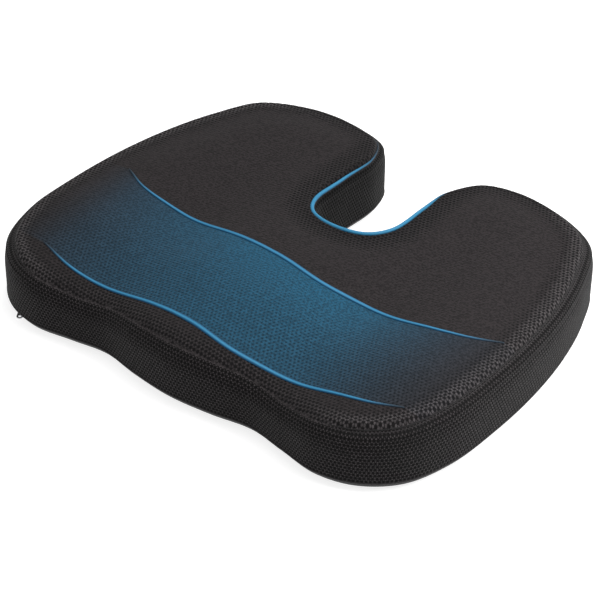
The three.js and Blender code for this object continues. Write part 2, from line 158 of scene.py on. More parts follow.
# For each plan point: how far inside the outline it lies, the inward direction there and the
# place along the outline as a share of its length.
def nearestEdge(points):
    a, b = edge, np.roll(edge, -1, 0)
    span = b - a
    size = (span ** 2).sum(1)
    inset, toward, place = [], [], []
    for part in np.array_split(points, max(1, len(points) // 3000)):
        gap = part[:, None] - a[None]
        t = np.clip((gap * span[None]).sum(2) / size[None], 0, 1)
        d = gap - t[..., None] * span[None]
        far = (d ** 2).sum(2)
        k = far.argmin(1)
        row = np.arange(len(part))
        tk, nk = t[row, k][:, None], (k + 1) % edgeCount
        n = inward[k] * (1 - tk) + inward[nk] * tk
        n /= np.linalg.norm(n, axis=1)[:, None]
        side = np.sign((d[row, k] * n).sum(1))
        inset.append(np.sqrt(far[row, k]) * np.where(side == 0, 1, side))
        toward.append(n)
        place.append((k + tk[:, 0]) / edgeCount)
    return np.concatenate(inset), np.vstack(toward), np.concatenate(place)


def edgeAt(place):  # outline point and inward direction at shares of the outline's length
    k = place * edgeCount
    low = np.floor(k).astype(int)
    f = (k - low)[..., None]
    p = edge[low % edgeCount] * (1 - f) + edge[(low + 1) % edgeCount] * f
    n = inward[low % edgeCount] * (1 - f) + inward[(low + 1) % edgeCount] * f
    return p, n / np.linalg.norm(n, axis=-1)[..., None]


def makeMesh(name, points, faces, values=None):
    mesh = bpy.data.meshes.new(name)
    listed = faces if isinstance(faces, list) else faces.tolist()
    mesh.from_pydata((np.asarray(points, float) * mm).tolist(), [], listed)
    for key, array in (values or {}).items():
        stored = mesh.attributes.new(key, "FLOAT", "POINT")
        stored.data.foreach_set("value", np.asarray(array, np.float32).ravel())
    mesh.polygons.foreach_set("use_smooth", np.full(len(mesh.polygons), True))
    mesh.update()
    obj = bpy.data.objects.new(name, mesh)
    scene.collection.objects.link(obj)
    return obj


def gridFaces(rows, columns, closedRows, closedColumns):  # quads of a grid of points
    i = np.arange(rows if closedRows else rows - 1)[:, None]
    j = np.arange(columns if closedColumns else columns - 1)[None]
    a, b = i * columns + j, i * columns + (j + 1) % columns
    c, d = (i + 1) % rows * columns + (j + 1) % columns, (i + 1) % rows * columns + j
    return np.stack([a, b, c, d], -1).reshape(-1, 4)


# A closed section carried along a path: at each station the section's own x goes along side
# and its y along up. Open paths get flat ends.
def sweep(name, centre, side, up, sectionX, sectionY, closed, values=None):
    rows, columns = sectionX.shape
    points = centre[:, None] + sectionX[..., None] * side[:, None] + sectionY[..., None] * up[:, None]
    faces = gridFaces(rows, columns, closed, True).tolist()
    if not closed:
        faces += [list(range(columns))[::-1], [(rows - 1) * columns + k for k in range(columns)]]
    spread = {key: np.broadcast_to(array, (rows, columns)) for key, array in (values or {}).items()}
    return outward(makeMesh(name, points.reshape(-1, 3), faces, spread))


def outward(obj):  # turns a closed mesh right way round if its signed volume is negative
    mesh = obj.data
    mesh.calc_loop_triangles()
    tri = np.zeros(len(mesh.loop_triangles) * 3, np.int32)
    mesh.loop_triangles.foreach_get("vertices", tri)
    co = np.zeros(len(mesh.vertices) * 3)
    mesh.vertices.foreach_get("co", co)
    p = co.reshape(-1, 3)[tri.reshape(-1, 3)]
    if (p[:, 0] * np.cross(p[:, 1], p[:, 2])).sum() < 0:
        mesh.flip_normals()
    return obj


# Materials
class Wire:  # a node's output that takes part in Python expressions
    def __init__(self, paint, socket):
        self.paint, self.socket = paint, socket

    def math(self, operation, first, second):
        return self.paint.node("ShaderNodeMath", dict(operation=operation), {0: first, 1: second})

    def __add__(self, other):
        return self.math("ADD", self, other)

    def __sub__(self, other):
        return self.math("SUBTRACT", self, other)

    def __rsub__(self, other):
        return self.math("SUBTRACT", other, self)

    def __mul__(self, other):
        return self.math("MULTIPLY", self, other)

    __radd__, __rmul__ = __add__, __mul__


class Paint:  # one material with its Principled shader
    def __init__(self, name, **constants):
        self.material = bpy.data.materials.new(name)
        self.material.use_nodes = True
        self.nodes, self.links = self.material.node_tree.nodes, self.material.node_tree.links
        self.shader = self.nodes["Principled BSDF"]
        for key, value in constants.items():
            self.shader.inputs[key.replace("_", " ")].default_value = value

    def node(self, kind, settings=None, inputs=None, output=0):
        made = self.nodes.new(kind)
        for key, value in (settings or {}).items():
            setattr(made, key, value)
        for key, value in (inputs or {}).items():
            self.feed(made.inputs[key], value)
        return Wire(self, made.outputs[output])

    def feed(self, socket, value):
        if isinstance(value, Wire):
            self.links.new(value.socket, socket)
        else:
            socket.default_value = value

    def set(self, name, value):
        self.feed(self.shader.inputs[name], value)

    def value(self, name):  # a number stored on the mesh's points
        return self.node("ShaderNodeAttribute", dict(attribute_name=name), output="Fac")

    def place(self, scale=(1, 1, 1)):
        coords = self.node("ShaderNodeTexCoord", output="Object")
        return self.node("ShaderNodeMapping", None, {"Vector": coords, "Scale": scale})

    def noise(self, size, detail=3.0, stretch=(1, 1, 1)):  # size of a blotch in millimetres
        scale = tuple(1000 / size * s for s in stretch)
        return self.node("ShaderNodeTexNoise", None,
                         {"Vector": self.place(scale), "Scale": 1.0, "Detail": detail})

    def ramp(self, value, low, high):
        return self.node("ShaderNodeMapRange", dict(interpolation_type="SMOOTHSTEP"),
                         {"Value": value, "From Min": low, "From Max": high})

    def mix(self, amount, first, second):
        return self.node("ShaderNodeMix", dict(data_type="RGBA"),
                         {"Factor": amount, 6: first, 7: second}, output=2)

    def bump(self, height, distance, strength=1.0):
        self.set("Normal", self.node("ShaderNodeBump", None,
                                     {"Height": height, "Distance": distance * mm, "Strength": strength}))


# Open mesh cloth: dark holes where the stored hole value is above the rim, a fine knit over the yarns, a
# painted highlight of lighter yarn where the stored highlight value is high, and blue where the print value
# is high.
knitting = dict(size=2.0, low=0.38, high=0.62, shade=0.56, holeShade=0.95, depth=0.35)


def meshCloth(name, yarn, hole, rim, highlightYarn=None, printed=None, printedHole=None):
    paint = Paint(name, Roughness=0.8, Specular_IOR_Level=0.14, Sheen_Weight=0.05, Sheen_Roughness=0.4)
    holes = paint.ramp(paint.value("hole"), *rim)
    knit = paint.ramp(paint.noise(knitting["size"]), knitting["low"], knitting["high"])
    colour = yarn
    # Painted highlight: lighter yarn where the stored highlight value is high.
    if highlightYarn:
        colour = paint.mix(paint.value("paintedHighlight"), colour, highlightYarn)
    if printed:
        colour = paint.mix(paint.value("print"), colour, printed)
        hole = paint.mix(paint.value("print"), hole, printedHole)
    shade = paint.mix(knit * knitting["shade"], colour, hole)
    paint.set("Base Color", paint.mix(holes * knitting["holeShade"], shade, hole))
    paint.bump(knit * 0.5 - holes * 1.5, knitting["depth"], 0.6)
    return paint.material


def lineTrim(name):  # blue strip, painted lighter along the middle of its top as a highlight and darker at its edges and underside as shade
    paint = Paint(name, Roughness=0.55, Specular_IOR_Level=0.2)
    # Painted highlight and shade: the middle value is high on the strip's top, painted lighter, and low at
    # its edges and underside, painted darker.
    middle = paint.ramp(paint.value("middle"), 0.25, 0.88)
    colour = paint.mix(middle, srgb(12, 66, 98), srgb(46, 118, 154))
    faded = paint.mix(paint.value("fade"), colour, srgb(34, 46, 56))
    paint.set("Base Color", faded)
    paint.bump(paint.noise(0.5, 2.0), 0.12, 0.4)
    return paint.material


def darker(colour, share):
    return tuple(c * share for c in colour[:3]) + (1,)


def woven(name, colour, size):  # plain cloth or tape; size of its weave in millimetres
    paint = Paint(name, Roughness=0.85, Specular_IOR_Level=0.3, Sheen_Weight=0.1)
    weave = paint.noise(size, 2.0, (1, 1, 0.6))
    paint.set("Base Color", paint.mix(weave * 0.7, colour, darker(colour, 0.45)))
    paint.bump(weave, 0.25, 0.6)
    return paint.material


def metal(name, colour, roughness):
    paint = Paint(name, Metallic=1.0, Base_Color=colour)
    wear = paint.noise(1.5, 4.0)
    paint.set("Roughness", wear * 0.25 + roughness)
    paint.bump(wear, 0.03, 0.3)
    return paint.material


def plain(name, colour, roughness, size, depth):
    paint = Paint(name, Roughness=roughness, Specular_IOR_Level=0.4)
    grain = paint.noise(size, 3.0)
    paint.set("Base Color", paint.mix(grain * 0.4, colour, darker(colour, 0.7)))
    paint.bump(grain, depth, 0.5)
    return paint.material


# The top mesh's lighter yarn colour is a painted highlight for its lit edges.
topCloth = meshCloth("topMesh", srgb(39, 35, 36), srgb(5, 4, 5), (0.22, 0.56), highlightYarn=srgb(74, 70, 71),
                     printed=srgb(27, 80, 106), printedHole=srgb(15, 42, 56))
sideCloth = meshCloth("sideMesh", srgb(60, 56, 57), srgb(2, 2, 2), (0.14, 0.45))
# Painted shade: the strip in the narrow cut-out is the side mesh painted darker, for the shade that falls
# there.
notchShadeCloth = meshCloth("notchShadeMesh", srgb(25, 23, 23), srgb(2, 2, 2), (0.16, 0.5))
baseCloth = woven("baseCloth", srgb(30, 29, 30), 1.2)
gripRubber = plain("gripRubber", srgb(24, 24, 25), 0.6, 2.0, 0.05)
threadBlack = woven("seamThread", srgb(26, 25, 26), 0.5)
lipCloth = woven("seamLip", srgb(34, 31, 32), 0.8)
# Painted shade: the seam cloth in the groove is painted darker than on the lips.
grooveShadeCloth = woven("seamGrooveShade", srgb(20, 18, 19), 0.8)
blueTrim = lineTrim("blueTrim")
foamCream = plain("memoryFoam", srgb(226, 222, 210), 0.95, 1.5, 0.4)
tapeCloth = woven("zipTape", srgb(24, 24, 25), 0.7)
coilNylon = plain("zipCoil", srgb(30, 30, 32), 0.45, 1.0, 0.03)
zipMetal = metal("zipMetal", srgb(190, 191, 194), 0.22)


def finish(obj, material, body="cushion", stands=()):
    obj.data.materials.clear()
    obj.data.materials.append(material)
    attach(obj, body)
    if stands:
        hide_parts(*stands)
    return obj


# The foam pad: the core remeshed and blown up as cloth, held at both seams and flat below.
pad = dict(voxel=6.0, pressure=4.0, stiffness=15, cap=2.2, frames=20, holdBelow=13, holdSeam=5.0,
           holdInset=14, fill=0.95, clear=1.9)


def foamPad():
    source = cad["foam_core"]
    mesh = source.data.copy()
    obj = bpy.data.objects.new("foamPad", mesh)
    scene.collection.objects.link(obj)
    weld = obj.modifiers.new("weld", "WELD")
    weld.merge_threshold = 0.02 * mm
    remesh = obj.modifiers.new("remesh", "REMESH")
    remesh.mode, remesh.voxel_size = "VOXEL", pad["voxel"] * mm
    obj.data = bakeModifiers(obj)
    rest = readPoints(obj)
    inset, _, _ = nearestEdge(rest[:, :2])
    seamLine = topAt(rest[:, 0], rest[:, 1]) * cushion["seamShare"]
    held = (np.abs(rest[:, 2] - seamLine) < pad["holdSeam"]) & (inset < pad["holdInset"])
    held |= rest[:, 2] < pad["holdBelow"]
    group = obj.vertex_groups.new(name="held")
    group.add(np.flatnonzero(held).tolist(), 1.0, "REPLACE")
    cloth = obj.modifiers.new("cloth", "CLOTH")
    cloth.settings.vertex_group_mass = "held"
    cloth.settings.use_pressure = True
    cloth.settings.uniform_pressure_force = pad["pressure"]
    cloth.settings.tension_stiffness = cloth.settings.compression_stiffness = pad["stiffness"]
    cloth.settings.effector_weights.gravity = 0
    for number in range(1, pad["frames"] + 1):
        scene.frame_set(number)
    obj.data = bakeModifiers(obj)
    scene.frame_set(1)
    after = readPoints(obj)
    shift = after - rest
    size = np.linalg.norm(shift, axis=1)
    shift *= (np.minimum(size, pad["cap"]) / np.maximum(size, 1e-9))[:, None]
    shift[rest[:, 2] < pad["holdBelow"]] = 0
    writePoints(obj, rest + shift)
    obj.vertex_groups.clear()
    smoother = obj.modifiers.new("round", "SUBSURF")
    smoother.levels = smoother.render_levels = 1
    obj.data = bakeModifiers(obj)
    obj.data.polygons.foreach_set("use_smooth", np.full(len(obj.data.polygons), True))
    return obj, rest, shift


def bakeModifiers(obj):  # the mesh with its modifiers applied; the object then has none
    made = bpy.data.meshes.new_from_object(obj.evaluated_get(bpy.context.evaluated_depsgraph_get()))
    obj.modifiers.clear()
    return made


def readPoints(obj):
    co = np.zeros(len(obj.data.vertices) * 3)
    obj.data.vertices.foreach_get("co", co)
    return co.reshape(-1, 3) / mm


def writePoints(obj, points):
    obj.data.vertices.foreach_set("co", (points * mm).ravel())
    obj.data.update()


# Values scattered at plan points, averaged into cells, spread into empty cells by repeated
# neighbour means, then read back with bilinear weights.
fieldRounds = dict(spread=60, soften=6)


class Field:
    def __init__(self, u, v, values, cell, lowU, highU, lowV, highV):
        self.low, self.cell = (lowU, lowV), cell
        self.shape = (int((highU - lowU) / cell[0]) + 2, int((highV - lowV) / cell[1]) + 2)
        total, count = np.zeros(self.shape), np.zeros(self.shape)
        i, j = self.spot(u, v)
        cells = (np.round(i).astype(int) % self.shape[0],
                 np.clip(np.round(j), 0, self.shape[1] - 1).astype(int))
        np.add.at(total, cells, values)
        np.add.at(count, cells, 1)
        known = count > 0
        grid = np.where(known, total / np.maximum(count, 1), 0)
        for _ in range(fieldRounds["spread"]):
            grid = np.where(known, grid, self.neighbourMean(grid))
        for _ in range(fieldRounds["soften"]):
            grid = grid * 0.5 + self.neighbourMean(grid) * 0.5
        self.grid = grid

    def neighbourMean(self, grid):
        return (np.roll(grid, 1, 0) + np.roll(grid, -1, 0) + np.roll(grid, 1, 1) + np.roll(grid, -1, 1)) / 4

    def spot(self, u, v):
        return (u - self.low[0]) / self.cell[0], (v - self.low[1]) / self.cell[1]

    def at(self, u, v):
        i, j = self.spot(u, v)
        i, j = i % self.shape[0], np.clip(j, 0, self.shape[1] - 1.001)
        a, b = np.floor(i).astype(int), np.floor(j).astype(int)
        f, g = i - a, j - b
        c, d = (a + 1) % self.shape[0], np.minimum(b + 1, self.shape[1] - 1)
        grid = self.grid
        return (grid[a % self.shape[0], b] * (1 - f) * (1 - g) + grid[c, b] * f * (1 - g)
                + grid[a % self.shape[0], d] * (1 - f) * g + grid[c, d] * f * g)


print("foam pad")
padObject, padRest, padShift = foamPad()
finish(padObject, foamCream, stands=("foam_core",))

# What the cover takes from the foam: its lift by plan point on top, and its bulge by length along
# the outline and height on the sides, where the last cell along the outline meets the first.
swell = dict(cell=7, margin=14, under=7, sideCells=210, sideRise=6, sideInset=9, sideLow=6)
padInset, padInward, padPlace = nearestEdge(padRest[:, :2])
padShoulder = topAt(padRest[:, 0], padRest[:, 1]) * shoulderShare(padInset)
padTop = padRest[:, 2] > padShoulder - swell["under"]
padSide = (padInset < swell["sideInset"]) & ~padTop & (padRest[:, 2] > swell["sideLow"])
lift = Field(padRest[padTop, 0], padRest[padTop, 1], padShift[padTop, 2], (swell["cell"], swell["cell"]),
             -halfWidth - swell["margin"], halfWidth + swell["margin"],
             -halfDepth - swell["margin"], halfDepth + swell["margin"])
bulge = Field(padPlace[padSide] * edgeLength, padRest[padSide, 2],
              -(padShift[padSide, :2] * padInward[padSide]).sum(1),
              (edgeLength / swell["sideCells"], swell["sideRise"]),
              0, edgeLength * (1 - 0.5 / swell["sideCells"]), 0, cushion["height"] + 4)


# The foam keeps clear of the side strips: a point nearer to them than the gap moves inward, by
# no more than the limit, from just above the floor to the shoulder.
tuck = dict(limit=6, low=3, high=0.85)


def tuckPad(obj, gap):
    points = readPoints(obj)
    inset, inward, place = nearestEdge(points[:, :2])
    z = points[:, 2]
    top = topAt(points[:, 0], points[:, 1])
    wall = sideInset(z / top) * sharpness(place) - bulge.at((place % 1) * edgeLength, z)
    near = np.clip(wall + gap - inset, 0, tuck["limit"]) * ((z > tuck["low"]) & (z < top * tuck["high"]))
    points[:, :2] += inward * near[:, None]
    writePoints(obj, points)


tuckPad(padObject, pad["clear"])


# Cloth beside the top seam: a raised lip some way from it less a groove at it, each a bell
# curve of the distance.
seamRoll = dict(topLip=1.9, topAway=4.4, sideLip=1.5, sideAway=4.5, lipWidth=3.0, groove=1.6, sideGroove=1.5,
                grooveWidth=1.6)


def seamLip(distance, lip, away, groove):
    raised = lip * np.exp(-((distance - away) / seamRoll["lipWidth"]) ** 2)
    return raised - groove * np.exp(-(distance / seamRoll["grooveWidth"]) ** 2)


# Height of the cover's top at a plan point: the shoulder, the foam's lift and the seam's lip.
def surfaceHeight(x, y, inset, place):
    keep = sharpness(place)
    fromSeam = inset - cushion["seamInset"] * keep
    lip = seamLip(fromSeam, seamRoll["topLip"], seamRoll["topAway"], seamRoll["groove"])
    raised = lift.at(x, y) * smoothStep(3, 16, inset)
    return topAt(x, y) * shoulderShare(inset / keep) + raised + lip * seamPull(x, y) * keep ** 0.5


# Plan curves of the two blue lines, as shares of the half sizes.
lines = dict(halfWidth=2.3, rise=0.75, sink=0.35, clear=0.1,
             sides=14, count=260, thinEnd=0.2, fadeFrom=0.12,
             rear=[(-0.81, -0.105), (-0.69, -0.17), (-0.5, -0.185), (-0.25, -0.188), (0, -0.21),
                   (0.2, -0.242), (0.38, -0.224), (0.6, -0.218), (0.78, -0.178), (0.91, -0.095)],
             front=[(-0.74, -0.78), (-0.6, -0.814), (-0.43, -0.811), (-0.2, -0.804), (0, -0.813),
                    (0.18, -0.838), (0.35, -0.82), (0.6, -0.791), (0.74, -0.765), (0.85, -0.712)])


def linePlan(name, count):
    knots = np.array(lines[name]) * (halfWidth, halfDepth)
    return evenly(splineThrough(knots, False, 30), count, False)[0]


# A sheared lattice's hole value: 1 where both counts are multiples of three, 0 where both leave
# the same remainder, which is where the yarns meet, and a half at the six points round a hole.
def holeValue(i, j):
    return np.where((i % 3 == 0) & (j % 3 == 0), 1.0, np.where((i - j) % 3 == 0, 0.0, 0.5))


def latticeTriangles(a, b, columns):  # two triangles from each point a, its neighbour b and the next row
    return np.vstack([np.stack([a, b, a + columns], 1), np.stack([b, b + columns, a + columns], 1)])


def onlyUsed(faces):  # the points that faces use, and the faces by their new numbers
    used, renumbered = np.unique(faces, return_inverse=True)
    return used, renumbered.reshape(faces.shape)


# Points of a sheared lattice whose every third point both ways is the centre of a hole, kept
# where the signed distance is positive, with the points near the border moved onto it. The
# border's limits are shares of the step between points.
border = dict(outside=0.62, inside=0.42, holes=0.5)


def hexSheet(pitch, distance, low, high):
    step = pitch / 3
    rise = step * math.sqrt(3) / 2
    rows = int((high[1] - low[1]) / rise) + 1
    shear = rows * step / 2
    columns = int((high[0] - low[0] + shear) / step) + 1
    j, i = np.meshgrid(np.arange(rows), np.arange(columns), indexing="ij")
    x = (low[0] - shear + i * step + j * step / 2).ravel()
    y = (low[1] + j * rise).ravel()
    hole = holeValue(i, j).ravel()
    near = np.flatnonzero((x > low[0]) & (x < high[0]))
    points = np.stack([x, y], 1)
    gap = np.full(len(points), -1e3)
    toward = np.zeros_like(points)
    gap[near], toward[near] = distance(points[near])
    keep = gap > -border["outside"] * step
    rim = keep & (gap < border["inside"] * step)
    points[rim] -= toward[rim] * gap[rim][:, None]
    hole = hole * (gap > border["holes"] * step)
    a = (j[:-1, :-1] * columns + i[:-1, :-1]).ravel()
    tris = latticeTriangles(a, a + 1, columns)
    tris = tris[keep[tris].all(1) & ~rim[tris].all(1)]
    used, renumbered = onlyUsed(tris)
    return points[used], renumbered, hole[used]


def insideSeam(points):
    inset, toward, place = nearestEdge(points)
    return inset - cushion["seamInset"] * sharpness(place), toward


# Blue printed on the top between the two lines: full at the peak, falling off to each side by
# a power of the distance as a share of its reach, and a little stronger towards the rear line.
dye = dict(peak=0.18, reachLeft=0.85, reachRight=0.48, power=2.8, goneLeft=-0.93, wholeLeft=-0.66, front=0.78)


def printedBlue(x, y):
    rear, front = linePlan("rear", 200), linePlan("front", 200)
    behind = np.interp(x, rear[:, 0], rear[:, 1])
    before = np.interp(x, front[:, 0], front[:, 1])
    share = (y - before) / (behind - before)
    inside = smoothStep(-0.01, 0.01, share) * smoothStep(-0.01, 0.01, 1 - share)
    side = x / halfWidth
    reach = np.where(side < dye["peak"], dye["reachLeft"], dye["reachRight"])
    fade = np.exp(-np.abs((side - dye["peak"]) / reach) ** dye["power"])
    fade *= smoothStep(dye["goneLeft"], dye["wholeLeft"], side)
    return inside * fade * (dye["front"] + (1 - dye["front"]) * np.clip(share, 0, 1) ** 2)


print("top panel")
topPoints, topFaces, topHoles = hexSheet(cushion["holePitch"], insideSeam,
                                         (-halfWidth, -halfDepth), (halfWidth, halfDepth))
topInset, _, topPlace = nearestEdge(topPoints)
topX, topY = topPoints.T
topZ = surfaceHeight(topX, topY, topInset, topPlace)
# Holes are whole over the edges, smaller in the front half and smallest on the rear of the seat.
openness = dict(least=0.45, front=0.32, highlightFront=0.25)
frontHalf = openness["front"] * smoothStep(-30, -120, topY)
topHoles *= openness["least"] + (1 - openness["least"]) * np.maximum(smoothStep(34, 14, topInset), frontHalf)
topZ -= np.clip(2 * topHoles - 1, 0, 1) * cushion["holeDepth"]
# Painted highlight: the yarn is painted lighter along the edges of both flanks, where the shoulder catches
# the light, and a little in front.
highlightShare = np.maximum(smoothStep(110, 170, np.abs(topX)),
                       openness["highlightFront"] * smoothStep(-120, -150, topY))
topPanel = makeMesh("topPanel", np.column_stack([topPoints, topZ]), topFaces,
                    {"hole": topHoles, "print": printedBlue(topX, topY),
                     "paintedHighlight": smoothStep(24, 15, topInset) * highlightShare})
print("top panel triangles", len(topFaces))
finish(topPanel, topCloth, stands=("cover_top_panel",))


# The side strips: places along the outline by rows from the base seam to the top seam, each
# row half a step on from the last so that the holes are staggered. Under the top seam the strip
# swells out, and at the seam it is drawn in.
def sidePoints(place, rise):
    p, n = edgeAt(place)
    keep = sharpness(place)
    seam = p + n * (cushion["seamInset"] * keep)[..., None]
    top = topAt(seam[..., 0], seam[..., 1])
    z = cushion["baseSeam"] + rise * (top * cushion["seamShare"] - cushion["baseSeam"])
    outer = bulge.at((place % 1) * edgeLength, z) * smoothStep(0, 0.25, rise) * smoothStep(1, 0.75, rise)
    below = top * cushion["seamShare"] - z
    lip = seamLip(below, seamRoll["sideLip"], seamRoll["sideAway"], seamRoll["sideGroove"])
    inset = sideInset(z / top) * keep - outer - lip * seamPull(p[..., 0], p[..., 1]) * keep ** 0.5
    return np.concatenate([p + n * inset[..., None], z[..., None]], -1), n


# Rows stand at even steps along the profile: shares of the strip's height where its length so
# far, found by adding up short chords, reaches each step.
def evenRows(count):
    rise = np.linspace(0, 1, 400)
    top = cushion["height"] - 2  # a height between the rear's and the front's
    z = cushion["baseSeam"] + rise * (cushion["seamShare"] * top - cushion["baseSeam"])
    run = np.concatenate([[0], np.cumsum(np.hypot(np.diff(z), np.diff(sideInset(z / top))))])
    return np.interp(np.arange(count) / (count - 1) * run[-1], run, rise)


print("side strips")
bandColumns = 3 * int(round(edgeLength / cushion["sidePitch"]))
bandRows = 3 * cushion["sideHoleRows"] + 1
bandJ, bandI = np.meshgrid(np.arange(bandRows), np.arange(bandColumns), indexing="ij")
bandPlace = (bandI + bandJ / 2) / bandColumns
bandXyz, bandInward = sidePoints(bandPlace, evenRows(bandRows)[bandJ])
bandHole = holeValue(bandI, bandJ) * ((bandJ > 0) & (bandJ < bandRows - 1))
bandXyz[..., :2] += bandInward * (np.clip(2 * bandHole - 1, 0, 1) * cushion["holeDepth"])[..., None]
a = (bandJ[:-1] * bandColumns + bandI[:-1]).ravel()
b = (bandJ[:-1] * bandColumns + (bandI[:-1] + 1) % bandColumns).ravel()
bandFaces = latticeTriangles(a, b, bandColumns)
flat = bandXyz.reshape(-1, 3)
joinX = cushion["cutoutHalf"] + 0.1 * halfWidth
middle = flat[bandFaces].mean(1)
inNotch = (np.abs(middle[:, 0] - cushion["cutoutOffset"]) < joinX) & (middle[:, 1] > 0)


def strip(name, faces, node, cloth):
    used, renumbered = onlyUsed(faces)
    obj = makeMesh(name, flat[used], renumbered, {"hole": bandHole.ravel()[used]})
    finish(obj, cloth, stands=(node,))


strip("sideBand", bandFaces[~inNotch], "cover_side_band", sideCloth)
# The cut-out's strip takes the darker mesh: painted shade in the notch.
strip("cutoutBand", bandFaces[inNotch], "cover_cutout_band", notchShadeCloth)


# Rings round the whole outline in a seam; out is the distance that the ring's middle stands
# proud of the cover, wave is how much a stitch narrows at its ends, and the top seam's rings
# shrink where the seam is faint.
seams = dict(
    stitch=4.0, smoothCount=900,
    topSeamUpperLip=dict(out=-0.7, rise=0.2, radius=0.6, wave=0, sides=8),
    topSeamLowerLip=dict(out=-0.8, rise=-1.2, radius=0.55, wave=0.5, sides=8),
    topSeamThread=dict(out=-1.3, rise=0, radius=0.55, wave=0.5, sides=6),
    baseSeamLip=dict(out=-0.4, rise=0.9, radius=1.0, wave=0, sides=8),
    baseSeamThread=dict(out=-0.5, rise=-0.25, radius=0.55, wave=0.5, sides=6))


def ringBead(name, atTop, material, stands=()):
    bead = seams[name]
    stitchCount = 4 * int(round(edgeLength / seams["stitch"]))
    count = stitchCount if bead["wave"] else seams["smoothCount"]
    place = np.arange(count) / count
    p, n = edgeAt(place)
    keep = sharpness(place)
    seam = p + n * (cushion["seamInset"] * keep)[:, None]
    top = topAt(seam[:, 0], seam[:, 1])
    z = top * cushion["seamShare"] if atTop else np.full(count, cushion["baseSeam"])
    z = z + bead["rise"]
    inset = sideInset(z / top) * keep - bead["out"]
    centre = np.column_stack([p + n * inset[:, None], z])
    side = np.column_stack([-n, np.zeros(count)])
    up = np.tile([0.0, 0.0, 1.0], (count, 1))
    turn = np.arange(bead["sides"]) / bead["sides"] * 2 * math.pi
    stitches = 0.5 * (1 + np.cos(np.arange(count) * 2 * math.pi / 4))
    size = bead["radius"] * (1 - bead["wave"] * stitches)
    size = (size * (seamPull(p[:, 0], p[:, 1]) ** 0.5 if atTop else 1))[:, None]
    obj = sweep(name, centre, side, up, size * np.cos(turn), size * np.sin(turn), True)
    return finish(obj, material, stands=stands)


print("seams")
# The ring in the seam's groove is painted darker: painted shade in the crease.
ringBead("topSeamUpperLip", True, grooveShadeCloth)
ringBead("topSeamLowerLip", True, lipCloth)
ringBead("topSeamThread", True, threadBlack, ("top_seam_thread",))
ringBead("baseSeamLip", False, lipCloth)
ringBead("baseSeamThread", False, threadBlack, ("bottom_seam_thread",))


# A raised strip along a plan curve: half an ellipse in section that narrows to its ends.
def accentLine(name, key, node):
    plan = linePlan(key, lines["count"])
    tangent = np.gradient(plan, axis=0)
    tangent /= np.linalg.norm(tangent, axis=1)[:, None]
    normal = np.column_stack([-tangent[:, 1], tangent[:, 0]])
    share = np.linspace(0, 1, len(plan))
    narrowing = np.sqrt(np.sin(math.pi * np.clip(share, 0.001, 0.999)))
    half = lines["halfWidth"] * (lines["thinEnd"] + (1 - lines["thinEnd"]) * narrowing)
    turn = np.arange(lines["sides"]) / lines["sides"] * 2 * math.pi
    spread = half[:, None] * np.cos(turn)[None]
    x = plan[:, :1] + normal[:, :1] * spread
    y = plan[:, 1:] + normal[:, 1:] * spread
    inset, _, place = nearestEdge(np.column_stack([x.ravel(), y.ravel()]))
    raised = np.clip(np.sin(turn), -lines["sink"], 1)[None] * lines["rise"] + lines["clear"]
    z = surfaceHeight(x, y, inset.reshape(x.shape), place.reshape(x.shape)) + raised
    zAxis = np.tile([0.0, 0.0, 1.0], (len(plan), 1))
    flatCentre = np.column_stack([plan, np.zeros(len(plan))])
    # The middle value marks the section's top for the painted highlight; its edges get painted shade.
    middle = np.maximum(1 - np.abs(np.cos(turn)), 0)[None]
    ends = smoothStep(lines["fadeFrom"], 0, np.minimum(share, 1 - share))[:, None]
    obj = sweep(name, flatCentre, np.column_stack([normal, np.zeros(len(plan))]), zAxis, spread, z, False,
                {"middle": middle, "fade": ends})
    return finish(obj, blueTrim, stands=(node,))


print("blue lines")
accentLine("rearLine", "rear", "rear_accent_line")
accentLine("frontLine", "front", "front_accent_line")

# The line along the cut-out's edge is a rod that lies inside the top seam, closer to it at the
# left wall, and that thins at both ends.
piping = dict(radius=1.85, run=165, sides=12, count=260, inside=2.6, closer=0.75, proud=1.1,
              thinLeft=0.45, thinRight=0.85, roundEnd=0.3)


def cutoutPiping():
    count = piping["count"]
    along = np.linspace(-1, 1, count)
    place = 0.5 + along * piping["run"] / edgeLength
    p, n = edgeAt(place)
    leftWall = smoothStep(-25, 70, (place - 0.5) * edgeLength)
    inside = piping["inside"] * (1 - piping["closer"] * leftWall)
    inset = cushion["seamInset"] * sharpness(place) + inside
    spot = p + n * inset[:, None]
    thin = 1 - piping["thinLeft"] * smoothStep(0.3, 0.8, along)
    thin = thin * (1 - piping["thinRight"] * smoothStep(-0.55, -0.82, along))
    rounded = np.sqrt(np.clip(1 - along * along, 0, 1))
    rounded = piping["roundEnd"] + (1 - piping["roundEnd"]) * rounded
    size = piping["radius"] * (thin * rounded)[:, None]
    z = surfaceHeight(spot[:, 0], spot[:, 1], inset, place) + piping["proud"] * thin
    centre = np.column_stack([spot, z])
    turn = np.arange(piping["sides"]) / piping["sides"] * 2 * math.pi
    up = np.tile([0.0, 0.0, 1.0], (count, 1))
    obj = sweep("cutoutPiping", centre, np.column_stack([-n, np.zeros(count)]), up,
                size * np.cos(turn), size * np.sin(turn), False,
                # The middle value is high on the rod's top for a painted highlight and low underneath for
                # painted shade.
                {"middle": (0.5 + 0.5 * np.sin(turn))[None],
                 "fade": smoothStep(0.5, 0.9, np.abs(along))[:, None]})
    return finish(obj, blueTrim, stands=("cutout_piping",))


cutoutPiping()

# The zip's arc in the underside, and the panel that it is let into.
zipArc = dict(x=40, y=-22, radius=255, front=211.8, span=60, exit=7, endRun=1.6, mouth=5.0)


